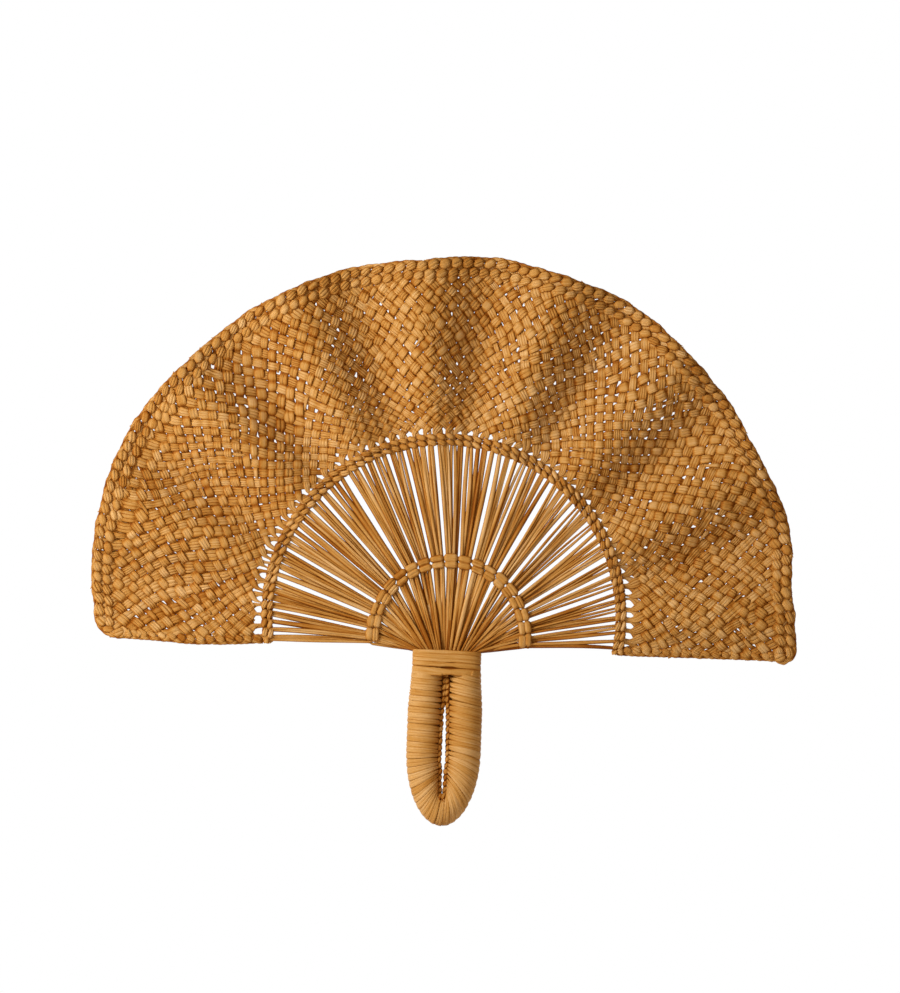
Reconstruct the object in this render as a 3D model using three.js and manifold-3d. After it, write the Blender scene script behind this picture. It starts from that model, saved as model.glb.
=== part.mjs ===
// Palm leaf hand fan: a rippled woven blade on a fan of tied ribs, with a bound loop handle.
// Millimetres, +Z up along the handle, the front faces -Y, the origin is the middle of the grip.
import * as THREE from "three";
import { mergeVertices } from "three/addons/utils/BufferGeometryUtils.js";
import Module from "manifold-3d";

// Blade: three arcs, each about a centre of its own, above one level lower edge
const RIM_RADIUS = 213.5;
const RIM_CENTRE_X = -3.6;
const RIM_CENTRE_Z = 78.5;
const BAND_RADIUS = 107.5;
const BAND_CENTRE_X = -2.6;
const BAND_CENTRE_Z = 74;
const RING_RADIUS = 46.5;
const RING_CENTRE_X = 0.9;
const RING_CENTRE_Z = 60.8;
const LOWER_EDGE_Z = 54;

// Woven sheet, its plaited rim and its two lower selvedges
const SHEET_THICKNESS = 3;
const RIM_WIDTH = 16;
const RIM_THICKNESS = 4.4;
const SELVEDGE_WIDTH = 5;
const SELVEDGE_THICKNESS = 3.8;

// Radial folds: heights at the band, halfway out and at the rim, and the angle from fold to fold
const FOLD_AT_BAND = 2.4;
const FOLD_HALFWAY = 7.5;
const FOLD_AT_RIM = 4.5;
const FOLD_SPACING_DEG = 23.3;
const FIRST_FOLD_DEG = 170.8;

// Ribs: bundles that leave the neck side by side, pass the tie ring and fork into ribs
const BUNDLES = 19;
const RIBS_PER_BUNDLE = 6;
const BUNDLE_SHARE = 0.8;
const STEM_BASE_DEPTH = 9;
const STEM_DEPTH = 4;
const STEM_TAPER = 0.8;
const STEM_RISE = 14;
const STEM_TURN = 25;
const FORK_LENGTH = 7;
const RIB_ROOT = 2;
const RIB_DEPTH = 2.2;
const RIB_SHARE = 0.1;
const RIB_SPREAD_AT_FORK = 0.74;
const RIB_SPREAD_AT_BAND = 0.94;

// Twined rows that tie the ribs: two rows on the tie ring, two on the inner band
const RING_ROW_WIDTH = 4.2;
const RING_ROW_THICKNESS = 2.4;
const BAND_ROW_WIDTH = 4.4;
const BAND_ROW_THICKNESS = 2.6;
const ROW_GAP = 0.4;

// Handle: a loop of bent ribs, its binding strip and the collar binding at the neck
const HANDLE_BOTTOM_Z = -53.5;
const HANDLE_WIDTH = 45.5;
const HANDLE_DEPTH = 20;
const HANDLE_TIP_DEPTH = 17;
const BEND_HEIGHT = 45.6;
const SLIT_WIDTH = 3;
const SLIT_END_Z = -33;
const WRAP_LOOPS_ON_LEG = 6;
const WRAP_LOOPS_ON_BEND = 12;
const WRAP_THICKNESS = 1.4;
const WRAP_GAP = 0.8;
const NECK_TOP_Z = 53.4;
const NECK_HEIGHT = 16;
const NECK_WIDTH = 42;
const NECK_DEPTH = 19.2;
const NECK_ROUNDING = 3;
const COLLAR_LOOPS = 5;
const COLLAR_THICKNESS = 1.2;
const COLLAR_GAP = 0.6;

// Clearances between touching pieces
const SEAT = 0.3;
const WRAP_CLEARANCE = 0.35;
const COLLAR_CLEARANCE = 0.5;

// Facet counts
const SHEET_STEPS_ACROSS = 74;
const SHEET_STEPS_OUT = 7;
const STEM_STEPS = 5;
const RING_ROW_STEPS = 28;
const BAND_ROW_STEPS = 66;
const ROW_SIDES = 6;
const CORE_SIDES = 12;
const WRAP_STEPS = 16;
const COLLAR_STEPS = 24;
const STRIP_SIDES = 6;

// Sizes worked out from the driving ones
const SHEET_INNER_RADIUS = BAND_RADIUS + ROW_GAP / 2 + BAND_ROW_WIDTH + 2 * SEAT;
const SHEET_OUTER_RADIUS = RIM_RADIUS - RIM_WIDTH - SEAT;
const RIB_END_RADIUS = SHEET_INNER_RADIUS - SEAT;
const FORK_RADIUS = RING_RADIUS + FORK_LENGTH;
const NECK_BOTTOM_Z = NECK_TOP_Z - NECK_HEIGHT;
const CORE_TOP_Z = NECK_TOP_Z - NECK_HEIGHT / 2;
const STEM_BASE_Z = CORE_TOP_Z + SEAT;
const BEND_TOP_Z = HANDLE_BOTTOM_Z + BEND_HEIGHT;
const COLLAR_INSET = COLLAR_THICKNESS + COLLAR_CLEARANCE;
const CORE_INSET = WRAP_THICKNESS + WRAP_CLEARANCE;
const WRAP_LOOPS = 2 * WRAP_LOOPS_ON_LEG + WRAP_LOOPS_ON_BEND;
const LEG_PITCH = (NECK_BOTTOM_Z - SEAT - BEND_TOP_Z + WRAP_GAP / 2) / (WRAP_LOOPS_ON_LEG + 0.5);
const FULL_TURN = 2 * Math.PI;

const { lerp, degToRad, clamp } = THREE.MathUtils;
const wasm = await Module();
wasm.setup();

const palm = (color, roughness) => new THREE.MeshStandardMaterial({ color, roughness, metalness: 0 });
const sheetPalm = palm(0xbd8238, 0.62);
const rimPalm = palm(0xb47831, 0.62);
const ribPalm = palm(0xb97f3c, 0.5);
const rowPalm = palm(0xb0732d, 0.58);
const stripPalm = palm(0xba803a, 0.5);
const corePalm = palm(0x9a6a30, 0.7);

const fan = new THREE.Group();

function addPiece(name, geometry, material) {
  const piece = new THREE.Mesh(geometry, material);
  piece.name = name;
  fan.add(piece);
}

// Moves every vertex of a closed primitive to its place and turns its faces outwards
function formed(primitive, place) {
  primitive.deleteAttribute("normal");
  primitive.deleteAttribute("uv");
  const geometry = mergeVertices(primitive);
  const position = geometry.attributes.position;
  const vertex = new THREE.Vector3();
  for (let i = 0; i < position.count; i += 1) {
    place(vertex.fromBufferAttribute(position, i));
    position.setXYZ(i, vertex.x, vertex.y, vertex.z);
  }
  if (signedVolume(geometry) < 0) {
    geometry.index.array.reverse();
  }
  return geometry;
}

function signedVolume(geometry) {
  const { index, attributes } = geometry;
  const [a, b, c] = [new THREE.Vector3(), new THREE.Vector3(), new THREE.Vector3()];
  let volume = 0;
  for (let i = 0; i < index.count; i += 3) {
    a.fromBufferAttribute(attributes.position, index.getX(i));
    b.fromBufferAttribute(attributes.position, index.getX(i + 1));
    c.fromBufferAttribute(attributes.position, index.getX(i + 2));
    volume += a.dot(b.cross(c)) / 6;
  }
  return volume;
}

// A tube through stations, each with a middle and two half-axes of its section
function swept(stations, sides) {
  const steps = stations.length - 1;
  return formed(new THREE.CylinderGeometry(1, 1, 1, sides, steps), (vertex) => {
    const station = stations[Math.round((0.5 - vertex.y) * steps)];
    const { x, z } = vertex;
    vertex.copy(station.at).addScaledVector(station.wide, x).addScaledVector(station.thick, z);
  });
}

function asSolid(geometry) {
  const vertProperties = new Float32Array(geometry.attributes.position.array);
  const triVerts = new Uint32Array(geometry.index.array);
  return new wasm.Manifold(new wasm.Mesh({ numProp: 3, vertProperties, triVerts }));
}

function asGeometry(solid) {
  const mesh = solid.getMesh();
  const geometry = new THREE.BufferGeometry();
  geometry.setAttribute("position", new THREE.BufferAttribute(mesh.vertProperties, 3));
  geometry.setIndex(new THREE.BufferAttribute(mesh.triVerts, 1));
  return geometry;
}

// The fan's arcs: the centre drifts from the tie ring to the band and on to the rim
function arcCentre(radius) {
  if (radius > BAND_RADIUS) {
    const out = (radius - BAND_RADIUS) / (RIM_RADIUS - BAND_RADIUS);
    return { x: lerp(BAND_CENTRE_X, RIM_CENTRE_X, out), z: lerp(BAND_CENTRE_Z, RIM_CENTRE_Z, out) };
  }
  const out = Math.max(0, (radius - RING_RADIUS) / (BAND_RADIUS - RING_RADIUS));
  return { x: lerp(RING_CENTRE_X, BAND_CENTRE_X, out), z: lerp(RING_CENTRE_Z, BAND_CENTRE_Z, out) };
}

// Angle of a place that lies a share of the way across, from the left lower edge to the right one
function arcAngle(across, radius, edgeZ) {
  const drop = Math.asin(clamp((arcCentre(radius).z - edgeZ) / radius, -1, 1));
  return lerp(Math.PI + drop, -drop, across);
}

// Height of the folds towards the front, a parabola through the three fold heights
function foldHeight(radius) {
  if (radius < SHEET_INNER_RADIUS) {
    return FOLD_AT_BAND * Math.max(0, (radius - FORK_RADIUS) / (SHEET_INNER_RADIUS - FORK_RADIUS));
  }
  const out = (radius - SHEET_INNER_RADIUS) / (RIM_RADIUS - SHEET_INNER_RADIUS);
  const nearBand = FOLD_AT_BAND * (1 - out) * (1 - 2 * out);
  const nearMiddle = FOLD_HALFWAY * 4 * out * (1 - out);
  return nearBand + nearMiddle + FOLD_AT_RIM * out * (2 * out - 1);
}

function foldDepth(angle, radius) {
  const phase = (degToRad(FIRST_FOLD_DEG) - angle) / degToRad(FOLD_SPACING_DEG);
  return -foldHeight(radius) * Math.sin(FULL_TURN * phase);
}

function fanPoint(across, radius, depth, edgeZ = LOWER_EDGE_Z) {
  const angle = arcAngle(across, radius, edgeZ);
  const centre = arcCentre(radius);
  return new THREE.Vector3(
    centre.x + radius * Math.cos(angle),
    foldDepth(angle, radius) + depth,
    centre.z + radius * Math.sin(angle),
  );
}

// Woven sheet and plaited rim: boxes laid out along the arcs
function arcSlab(innerRadius, outerRadius, thickness, edgeZ, stepsOut) {
  const box = new THREE.BoxGeometry(1, 1, 1, SHEET_STEPS_ACROSS, 1, stepsOut);
  return formed(box, (vertex) => {
    const radius = lerp(innerRadius, outerRadius, vertex.z + 0.5);
    vertex.copy(fanPoint(vertex.x + 0.5, radius, vertex.y * thickness, edgeZ));
  });
}

const sheetEdgeZ = LOWER_EDGE_Z + SELVEDGE_WIDTH + SEAT;
const sheet = arcSlab(SHEET_INNER_RADIUS, SHEET_OUTER_RADIUS, SHEET_THICKNESS, sheetEdgeZ, SHEET_STEPS_OUT);
addPiece("woven_blade", sheet, sheetPalm);
const rim = arcSlab(RIM_RADIUS - RIM_WIDTH, RIM_RADIUS, RIM_THICKNESS, LOWER_EDGE_Z, 1);
addPiece("rim_plait", rim, rimPalm);

// Selvedge: a flat strip along one lower edge of the sheet
function selvedge(side) {
  const box = new THREE.BoxGeometry(1, 1, 1, 1, 1, SHEET_STEPS_OUT);
  return formed(box, (vertex) => {
    const radius = lerp(SHEET_INNER_RADIUS, SHEET_OUTER_RADIUS, vertex.z + 0.5);
    const edgeZ = LOWER_EDGE_Z + SELVEDGE_WIDTH * (vertex.x + 0.5);
    vertex.copy(fanPoint(side, radius, vertex.y * SELVEDGE_THICKNESS, edgeZ));
  });
}

addPiece("left_selvedge", selvedge(0), rimPalm);
addPiece("right_selvedge", selvedge(1), rimPalm);

// A stem's middle line: up out of the neck, over to its own angle, out to the tie ring
function stemPoint(across, along) {
  const angle = arcAngle(across, RING_RADIUS, LOWER_EDGE_Z);
  const halfNeck = NECK_WIDTH / 2 - COLLAR_INSET - STEM_BASE_DEPTH / 4;
  const baseX = lerp(-halfNeck, halfNeck, across);
  const ringAt = (radius) => new THREE.Vector2(
    RING_CENTRE_X + radius * Math.cos(angle),
    RING_CENTRE_Z + radius * Math.sin(angle),
  );
  const line = new THREE.CubicBezierCurve(
    new THREE.Vector2(baseX, STEM_BASE_Z),
    new THREE.Vector2(baseX, STEM_BASE_Z + STEM_RISE),
    ringAt(STEM_TURN),
    ringAt(RING_RADIUS),
  );
  return line.getPoint(along);
}

// A bundle's stem fills its lane from the neck to the fork just past the tie ring
function bundleStem(bundle) {
  const box = new THREE.BoxGeometry(1, 1, 1, 1, 1, STEM_STEPS + 1);
  return formed(box, (vertex) => {
    const across = (bundle + 0.5 + vertex.x * BUNDLE_SHARE) / BUNDLES;
    const step = Math.round((vertex.z + 0.5) * (STEM_STEPS + 1));
    const thinned = Math.min(1, step / STEM_STEPS / STEM_TAPER);
    const depth = vertex.y * lerp(STEM_BASE_DEPTH, STEM_DEPTH, thinned);
    if (step > STEM_STEPS) {
      vertex.copy(fanPoint(across, FORK_RADIUS, depth));
    } else {
      const flat = stemPoint(across, step / STEM_STEPS);
      vertex.set(flat.x, depth, flat.y);
    }
  });
}

function bundleRib(bundle, rib) {
  const offCentre = (rib + 0.5) / RIBS_PER_BUNDLE - 0.5;
  return formed(new THREE.BoxGeometry(1, 1, 1), (vertex) => {
    const out = vertex.z + 0.5;
    const spread = lerp(RIB_SPREAD_AT_FORK, RIB_SPREAD_AT_BAND, out);
    const across = (bundle + 0.5 + offCentre * spread + vertex.x * RIB_SHARE) / BUNDLES;
    const radius = lerp(FORK_RADIUS - RIB_ROOT, RIB_END_RADIUS, out);
    vertex.copy(fanPoint(across, radius, vertex.y * RIB_DEPTH));
  });
}

for (let bundle = 0; bundle < BUNDLES; bundle += 1) {
  let solid = asSolid(bundleStem(bundle));
  for (let rib = 0; rib < RIBS_PER_BUNDLE; rib += 1) {
    solid = solid.add(asSolid(bundleRib(bundle, rib)));
  }
  const number = String(bundle + 1).padStart(2, "0");
  addPiece(`rib_bundle_${number}`, asGeometry(solid), ribPalm);
}

// One strand of a twined row, laid along an arc in front of the ribs (-1) or behind them (1)
function rowStrand(radius, width, thickness, ribDepth, face, steps) {
  const endShare = 1 / (4 * BUNDLES * RIBS_PER_BUNDLE);
  const depth = face * (ribDepth / 2 + SEAT + thickness / 2);
  const stations = [];
  for (let i = 0; i <= steps; i += 1) {
    const across = lerp(endShare, 1 - endShare, i / steps);
    const at = fanPoint(across, radius, depth);
    const outer = fanPoint(across, radius + width / 2, depth);
    const wide = outer.sub(at).setY(0).setLength(width / 2);
    stations.push({ at, wide, thick: new THREE.Vector3(0, thickness / 2, 0) });
  }
  return swept(stations, ROW_SIDES);
}

const FACES = { front: -1, back: 1 };
for (const [faceName, face] of Object.entries(FACES)) {
  for (const [rowName, step] of Object.entries({ inner: -0.5, outer: 0.5 })) {
    const ringRadius = RING_RADIUS + step * (RING_ROW_WIDTH + ROW_GAP);
    const ringRow = rowStrand(ringRadius, RING_ROW_WIDTH, RING_ROW_THICKNESS, STEM_DEPTH, face, RING_ROW_STEPS);
    addPiece(`tie_ring_${rowName}_${faceName}`, ringRow, rowPalm);
    const bandRadius = BAND_RADIUS + step * (BAND_ROW_WIDTH + ROW_GAP);
    const bandRow = rowStrand(bandRadius, BAND_ROW_WIDTH, BAND_ROW_THICKNESS, RIB_DEPTH, face, BAND_ROW_STEPS);
    addPiece(`band_${rowName}_${faceName}`, bandRow, rowPalm);
  }
}

// The handle's section at a loop count along its U: from the slit's edge to the outer edge
function slitEdge(share, inset) {
  const radius = SLIT_WIDTH / 2 + inset;
  const arcZ = SLIT_END_Z + SLIT_WIDTH / 2;
  const edge = new THREE.CurvePath();
  edge.add(new THREE.LineCurve(new THREE.Vector2(-radius, BEND_TOP_Z), new THREE.Vector2(-radius, arcZ)));
  edge.add(new THREE.EllipseCurve(0, arcZ, radius, radius, Math.PI, FULL_TURN));
  edge.add(new THREE.LineCurve(new THREE.Vector2(radius, arcZ), new THREE.Vector2(radius, BEND_TOP_Z)));
  return edge.getPointAt(share);
}

function outerEdge(share, inset) {
  const half = HANDLE_WIDTH / 2 - inset;
  const edge = new THREE.EllipseCurve(0, BEND_TOP_Z, half, BEND_HEIGHT - inset, Math.PI, FULL_TURN);
  return edge.getPointAt(share);
}

function handleSection(loop, inset) {
  const onBend = clamp((loop - WRAP_LOOPS_ON_LEG) / WRAP_LOOPS_ON_BEND, 0, 1);
  const inner = slitEdge(onBend, inset);
  const outer = outerEdge(onBend, inset);
  const loopsAbove = Math.max(WRAP_LOOPS_ON_LEG - loop, loop - WRAP_LOOPS_ON_LEG - WRAP_LOOPS_ON_BEND, 0);
  const rise = loopsAbove * LEG_PITCH;
  const towardsTip = 1 - Math.abs(2 * onBend - 1);
  return {
    middle: new THREE.Vector3((inner.x + outer.x) / 2, 0, (inner.y + outer.y) / 2 + rise),
    across: new THREE.Vector3((outer.x - inner.x) / 2, 0, (outer.y - inner.y) / 2),
    deep: new THREE.Vector3(0, lerp(HANDLE_DEPTH, HANDLE_TIP_DEPTH, towardsTip) / 2 - inset, 0),
  };
}

// Handle core: the bent loop, drawn in where the collar grips it
function coreStation(loop) {
  const section = handleSection(loop, CORE_INSET);
  return { at: section.middle, wide: section.across, thick: section.deep };
}

function collarStation(side, z) {
  const outerX = NECK_WIDTH / 2 - COLLAR_INSET;
  const innerX = SLIT_WIDTH / 2 + CORE_INSET;
  const half = (outerX - innerX) / 2;
  return {
    at: new THREE.Vector3(side * (innerX + half), 0, z),
    wide: new THREE.Vector3(side * half, 0, 0),
    thick: new THREE.Vector3(0, NECK_DEPTH / 2 - COLLAR_INSET - COLLAR_CLEARANCE, 0),
  };
}

function coreGeometry() {
  const bendEnd = WRAP_LOOPS_ON_LEG + WRAP_LOOPS_ON_BEND;
  const bendMiddle = WRAP_LOOPS / 2;
  const stations = [collarStation(-1, CORE_TOP_Z), collarStation(-1, NECK_BOTTOM_Z), coreStation(0)];
  for (let loop = WRAP_LOOPS_ON_LEG; loop <= bendEnd; loop += Math.abs(loop - bendMiddle) < 2 ? 0.25 : 1) {
    stations.push(coreStation(loop));
  }
  stations.push(coreStation(WRAP_LOOPS), collarStation(1, NECK_BOTTOM_Z), collarStation(1, CORE_TOP_Z));
  return swept(stations, CORE_SIDES);
}

addPiece("handle_core", coreGeometry(), corePalm);

// A flat strip wound along pointAt(loop), whose turns keep a gap to their neighbours
function woundStrip(pointAt, loops, stepsPerLoop, thickness, gap) {
  const stations = [];
  const small = 0.01;
  for (let i = 0; i <= loops * stepsPerLoop; i += 1) {
    const loop = i / stepsPerLoop;
    const at = pointAt(loop, loop);
    const along = pointAt(loop + small, loop + small).sub(pointAt(loop - small, loop - small)).normalize();
    const wide = pointAt(loop + 0.5, loop).sub(pointAt(loop - 0.5, loop));
    wide.addScaledVector(along, -wide.dot(along));
    const thick = new THREE.Vector3().crossVectors(along, wide).setLength(thickness / 2);
    wide.setLength(Math.max(thickness, wide.length() - gap) / 2);
    stations.push({ at, wide, thick });
  }
  return straightEnds(stations);
}

// Both ends of a wound strip run on straight for one strip thickness
function straightEnds(stations) {
  const tail = (end, before) => {
    const run = end.at.clone().sub(before.at).setLength(2 * end.thick.length());
    return { ...end, at: end.at.clone().add(run) };
  };
  const last = stations.length - 1;
  return [tail(stations[0], stations[1]), ...stations, tail(stations[last], stations[last - 1])];
}

// Least distance between points of a strip that lie at least half a loop apart along it
function leastGap(stations, stepsPerLoop) {
  const rings = stations.map(({ at, wide, thick }) => [-1, -0.5, 0, 0.5, 1].flatMap((w) => [-1, 1].map(
    (t) => at.clone().addScaledVector(wide, w).addScaledVector(thick, t * Math.sqrt(1 - w * w)),
  )));
  let least = Infinity;
  for (let i = 0; i < rings.length; i += 1) {
    for (let j = i + stepsPerLoop / 2; j < rings.length; j += 1) {
      for (const p of rings[i]) {
        least = rings[j].reduce((gap, q) => Math.min(gap, p.distanceTo(q)), least);
      }
    }
  }
  return least;
}

// Handle wrap: one strip wound down the left leg, round the bend and up the right leg
function wrapPoint(loop, turn) {
  const section = handleSection(clamp(loop, -1, WRAP_LOOPS + 1), WRAP_THICKNESS / 2);
  const angle = FULL_TURN * turn;
  return section.middle.addScaledVector(section.across, -Math.sin(angle))
    .addScaledVector(section.deep, Math.cos(angle));
}

const wrap = woundStrip(wrapPoint, WRAP_LOOPS, WRAP_STEPS, WRAP_THICKNESS, WRAP_GAP);
addPiece("handle_wrap", swept(wrap, STRIP_SIDES), stripPalm);
console.log("handle_wrap least gap to itself, mm:", leastGap(wrap, WRAP_STEPS).toFixed(2));

// Neck collar: a strip wound round the legs and the stems on a rounded oval
const COLLAR_PITCH = NECK_HEIGHT / (COLLAR_LOOPS + 1);

function collarPoint(loop, turn) {
  const angle = FULL_TURN * turn;
  const round = (value) => Math.sign(value) * Math.abs(value) ** (2 / NECK_ROUNDING);
  return new THREE.Vector3(
    round(Math.sin(angle)) * (NECK_WIDTH - COLLAR_THICKNESS) / 2,
    round(Math.cos(angle)) * (NECK_DEPTH - COLLAR_THICKNESS) / 2,
    NECK_BOTTOM_Z + (loop + 0.5) * COLLAR_PITCH,
  );
}

const collar = woundStrip(collarPoint, COLLAR_LOOPS, COLLAR_STEPS, COLLAR_THICKNESS, COLLAR_GAP);
addPiece("neck_collar", swept(collar, STRIP_SIDES), stripPalm);
console.log("neck_collar least gap to itself, mm:", leastGap(collar, COLLAR_STEPS).toFixed(2));

export default fan;
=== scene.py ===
"""Palm leaf hand fan: a rippled woven blade on tied ribs, with a bound loop handle."""

import math
from dataclasses import dataclass

import bpy
import numpy as np
from mathutils import Matrix, Vector


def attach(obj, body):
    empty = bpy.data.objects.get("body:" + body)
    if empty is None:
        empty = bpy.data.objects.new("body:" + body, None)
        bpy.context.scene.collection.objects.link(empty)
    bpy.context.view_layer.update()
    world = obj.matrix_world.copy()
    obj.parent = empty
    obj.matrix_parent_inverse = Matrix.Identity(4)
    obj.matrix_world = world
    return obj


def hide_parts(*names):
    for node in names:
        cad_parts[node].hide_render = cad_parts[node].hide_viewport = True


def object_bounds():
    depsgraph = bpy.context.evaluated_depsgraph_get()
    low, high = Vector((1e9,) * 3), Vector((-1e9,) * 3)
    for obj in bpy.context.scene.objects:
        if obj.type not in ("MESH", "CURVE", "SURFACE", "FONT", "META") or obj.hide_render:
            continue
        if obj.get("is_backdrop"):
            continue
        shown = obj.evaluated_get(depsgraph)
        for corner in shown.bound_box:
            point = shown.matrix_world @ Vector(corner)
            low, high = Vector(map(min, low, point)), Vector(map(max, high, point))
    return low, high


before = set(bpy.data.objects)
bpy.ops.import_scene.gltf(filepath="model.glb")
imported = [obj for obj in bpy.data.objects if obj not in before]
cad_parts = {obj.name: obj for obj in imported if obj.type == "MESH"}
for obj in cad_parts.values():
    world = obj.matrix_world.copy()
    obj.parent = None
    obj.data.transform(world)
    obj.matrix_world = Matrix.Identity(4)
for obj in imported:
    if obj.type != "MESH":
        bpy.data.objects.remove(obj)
cad_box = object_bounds()

MM = 0.001
TAU = 2 * math.pi
SEED = 11
FRONT = (0.0, -1.0, 0.0)

# Blade arcs and folds, the same sizes as the solids, in millimetres
ARC_RADII = (46.5, 107.5, 213.5)
ARC_CENTRES = np.array(((0.9, 60.8), (-2.6, 74.0), (-3.6, 78.5)))
RING_RADIUS, BAND_RADIUS, RIM_RADIUS = ARC_RADII
RING_CENTRE, BAND_CENTRE, RIM_CENTRE = ARC_CENTRES
LOWER_EDGE_Z = 54.0
FORK_RADIUS = 53.5
SHEET_RADIUS = 112.7
FOLD_AT_BAND, FOLD_HALFWAY, FOLD_AT_RIM = 2.4, 7.5, 4.5
FOLD_SPACING = math.radians(23.3)
FIRST_FOLD = math.radians(170.8)
# Steps out and round from which the surface's facing is taken, and rounds that find a radius
FACING_STEP, FACING_TURN = 0.4, 0.004
POLAR_ROUNDS = 6

# Where the hand-made outline strays from its arc: angle and spread in degrees, and height
EVEN_SWELL = 1.6
SWELLS = (
    (-5, 3, 1.5), (5, 4, -2.4), (16, 5, 1.6), (30, 5, -1.6), (60, 10, 2.8),
    (83, 4, 1.0), (97, 8, -2.3), (125, 6, 1.0), (154, 16, 4.6), (184, 7, -3.2),
)
# Small lumps of the rim: how many there would be all the way round, and their height
LUMPS, LUMP_HEIGHT = (41, 67, 101), 0.16
# The left lower edge hangs a little lower halfway along
SAG, SAG_X, SAG_SPREAD, SAG_TOP_Z = 2.2, -150.0, 28.0, 90.0

# A slow drift is a sum of waves, each this much longer than the first
DRIFT_WAVES = (1, 1.7, 2.9)

# Strands: the painted shade that darkens a groove and a strand's edge, and half a groove's width as a share
GROOVE_SHADE, EDGE_SHADE, SEAM_HALF = 0.6, 0.43, 0.08
ONE_FIBRE_SHOULDERS, SHOULDERS = (-0.82, -0.45, 0.45, 0.82), (-0.84, 0.84)
BULGE_POWER, EDGE_POWER = 2.2, 6
# How far apart strands lie in the grain, and how each fills its row in the bake
GRAIN_STEP = 7.3
STRAND_GIRTH = 9.0
ROW_MARGIN, ROW_INSET = 0.04, 0.005
CAP_WIDTH, CAP_HEIGHT = 0.001, 0.3

# Weave: strands at the band, how they lean, and how they lie over and under one another
STRANDS_AT_BAND, PITCH_RADIUS = 57, 110.0
WEAVE_PARTS = 4
WEAVE_START, WEAVE_END = 107.0, 210.0
LEAN_BEGINS, LEAN_FULL, LEAN_EARLY = 113.2, 117.5, 2.4
WIDEN_BEGINS, WIDEN_FULL = 112.5, 119.0
WEAVE_FLOOR_Z = 55.8
RADIUS_STEP = 0.5
# A couple is two neighbours and two children, which part at radii that the golden section spreads out
IN_COUPLE, GOLDEN, FIRST_BIRTH = 4, 0.6180339887, 0.37
CHILD_GROWTH, CHILD_LEAD, CHILD_SHOWS = 48.0, 20.0, 16.0
START_HALF, START_TIGHT, START_DEPTH = 0.9, 1.15, 0.7
START_UNEVEN, START_RISE = (0.65, 1.55), 0.3
# Angles in degrees between which the strands stand apart at the band, at the right and left ends
COMB_RIGHT, COMB_LEFT = (6, 22), (138, 162)
# How far strands stray sideways, in full from a radius outwards, and at the band, up to a radius
SIDE_OFFSET, SIDE_FULL = 0.25, 130
START_ASIDE, START_ASIDE_ENDS = 0.08, 125
FLOAT_SAG = 0.8
SWING_BEYOND, SWING_BETWEEN = 6.0, (0.22, 0.78)
STRAY_SHARE = 0.004
# Where the weave is looser: angle in degrees, radius and share, and how far round and out it reaches
LOOSE_PLACES = ((52, 180, 0.11), (138, 165, 0.03))
LOOSE_ROUND, LOOSE_OUT = 14, 30.0
# Each strand: the least that is laid, its width, its depth where it dips, its tone and the least painted
# shade in its grooves
SHORTEST_STRAND, FEWEST_PLACES, LEAST_HALF_WIDTH = 8.0, 6, 0.25
FILL_UNEVEN, FILL_LIMITS = 0.05, (0.88, 1.1)
DIP_WIDTHS, DIP_DEPTHS = (0.95, 1.0), (0.85, 1.05)
RIM_FLATTENS = (200, 206)
STRAND_TONES, LEAST_GROOVE_SHADE = 0.07, 0.1

# Rim, selvedges, inner band and tie ring: rows of two plies that take turns in front
# Painted shade on a ply where it turns behind the other, and the share of its depth left there
PLY_SHADE, PLY_DEPTH = 0.42, 0.7
SHORTEST_STRIP, FEWEST_ON_PATH, SPARE_KNOTS = 0.6, 8, 4
BEAD_UNEVEN, BEAD_SIZES, BEAD_TONES = 0.13, (0.75, 1.25), 0.1
# How strongly the grooves of a bead are painted in shade
BEAD_GROOVE_SHADE = 0.45
RIM_OUTER_ROW, RIM_INNER_ROW, RIM_EDGE_ROW = 209.4, 204.0, 211.7
RIM_OUTER_Z, RIM_INNER_Z, RIM_EDGE_Z = 57.0, 59.5, 55.2
RIM_OUTER_BEADS, RIM_INNER_BEADS, RIM_EDGE_BEADS = 107, 103.5, 82.4
CORNER_LEFT, CORNER_RIGHT, CORNER_EDGE_LEFT, CORNER_RUN = 11.0, 4.0, 13.0, 8
CORNER_KNOT = ((198.0, 56.5), (201.5, 53.4), (204.8, 52.6), (207.2, 54.6), (208.4, 58.0))
# Strand ends that stand off the rim: how long they are and how far they rise
RIM_TIPS = 60
TIP_LENGTHS, TIP_RISES, TIP_INSET = (2, 5), (0.6, 1.8), 1.5
TIP_HALF_WIDTH, TIP_HALF_DEPTH, TIP_TAPER, TIP_CURL = 0.85, 0.6, 0.8, 1.5
SELVEDGE_END_RADIUS = 204

# Ribs: bundles at the tie ring, and the groups that each one parts into towards the band
BUNDLES = 19
GROUPS_PER_BUNDLE = 4
RING_SPREAD = 0.74
RIB_OPENING, RIB_SPLAY = (0.75, 2.0), (0.0, 1.2)
BAND_STRAY, RING_STRAY, RIB_STRAY, STEM_STRAY = 0.025, 0.02, 0.001, 0.006
# Each sort of group: half a rib's width and where its ribs lie from side to side
RIB_GROUPS = ((1.45, (0.0,)), (1.15, (-0.65, 0.65)), (1.0, (-0.8, 0.8)), (0.9, (-0.9, 0.0, 0.9)))
# The ribs are slimmer towards the right, from one bundle to another
RIB_SLIMMER, RIB_SLIM_BUNDLES = 0.27, (9, 15)
RIB_EDGE_Z = LOWER_EDGE_Z + 1.4
RIB_END_RADIUS = 109.8
STEM_BASE_Z, STEM_SIDE_Z, STEM_HALF_SPAN = 47.0, 53.0, 17.6
STEM_SIDE_POWER, STEM_BOW = 1.5, 2.2
STEM_DEPTHS, RING_LAYERS = (-3.9, 3.7), 3
STEM_STEPS, RIB_STEPS = 16, 30
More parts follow.
